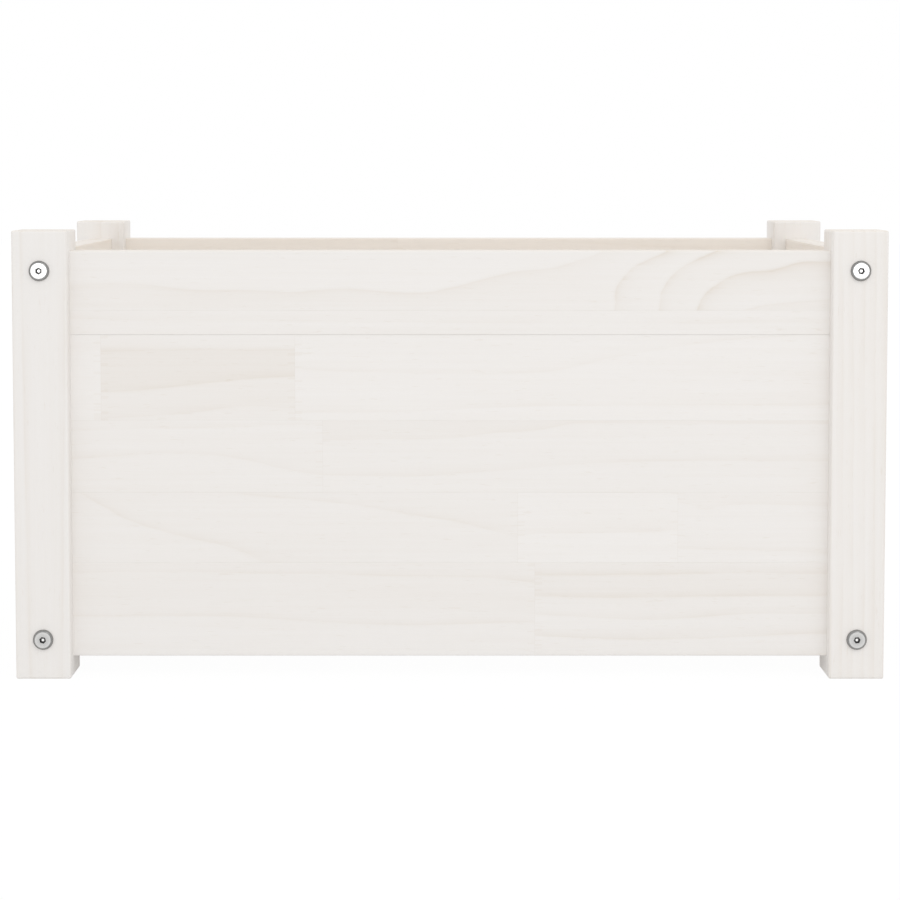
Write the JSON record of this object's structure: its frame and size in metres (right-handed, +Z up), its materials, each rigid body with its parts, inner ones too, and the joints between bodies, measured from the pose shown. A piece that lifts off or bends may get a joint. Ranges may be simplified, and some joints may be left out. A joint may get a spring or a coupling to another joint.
{
  "type": "versailles planter",
  "caption": "Rectangular timber planter with square corner posts, two-board walls bolted between them and a slatted floor.",
  "frame": {"origin": "centre of the footprint, on the ground", "axes": "+X along the length, +Y from front to back, +Z up"},
  "size_m": [0.6, 0.3144, 0.31],
  "materials": {
    "post_wood": "white-washed pine, matt, grain upright",
    "board_wood": "white-washed edge-glued pine, matt, grain along the board",
    "floor_wood": "white-washed pine, matt",
    "dowel_wood": "bare beech",
    "bolt_steel": "zinc-plated steel, satin",
    "nut_steel": "zinc-plated steel, satin"
  },
  "bodies": {
    "root": {"post_front_left": "post_wood", "post_front_right": "post_wood", "post_rear_left": "post_wood", "post_rear_right": "post_wood", "front_lower_panel": "board_wood", "front_top_board": "board_wood", "rear_lower_panel": "board_wood", "rear_top_board": "board_wood", "left_lower_panel": "board_wood", "left_top_board": "board_wood", "right_lower_panel": "board_wood", "right_top_board": "board_wood", "floor_batten_front": "floor_wood", "floor_batten_rear": "floor_wood", "floor_slat_1": "floor_wood", "floor_slat_2": "floor_wood", "floor_slat_3": "floor_wood", "floor_slat_4": "floor_wood", "floor_slat_5": "floor_wood", "bolt_left_front_lower": "bolt_steel", "bolt_left_front_upper": "bolt_steel", "bolt_left_rear_lower": "bolt_steel", "bolt_left_rear_upper": "bolt_steel", "bolt_right_front_lower": "bolt_steel", "bolt_right_front_upper": "bolt_steel", "bolt_right_rear_lower": "bolt_steel", "bolt_right_rear_upper": "bolt_steel", "barrel_nut_left_front_lower": "nut_steel", "barrel_nut_left_front_upper": "nut_steel", "barrel_nut_left_rear_lower": "nut_steel", "barrel_nut_left_rear_upper": "nut_steel", "barrel_nut_right_front_lower": "nut_steel", "barrel_nut_right_front_upper": "nut_steel", "barrel_nut_right_rear_lower": "nut_steel", "barrel_nut_right_rear_upper": "nut_steel", "dowel_front_left_low": "dowel_wood", "dowel_front_left_middle": "dowel_wood", "dowel_front_left_top": "dowel_wood", "dowel_front_right_low": "dowel_wood", "dowel_front_right_middle": "dowel_wood", "dowel_front_right_top": "dowel_wood", "dowel_rear_left_low": "dowel_wood", "dowel_rear_left_middle": "dowel_wood", "dowel_rear_left_top": "dowel_wood", "dowel_rear_right_low": "dowel_wood", "dowel_rear_right_middle": "dowel_wood", "dowel_rear_right_top": "dowel_wood", "dowel_left_front": "dowel_wood", "dowel_left_rear": "dowel_wood", "dowel_right_front": "dowel_wood", "dowel_right_rear": "dowel_wood", "screw_front_1": "nut_steel", "screw_front_2": "nut_steel", "screw_front_3": "nut_steel", "screw_rear_1": "nut_steel", "screw_rear_2": "nut_steel", "screw_rear_3": "nut_steel"}
  },
  "joints": []
}
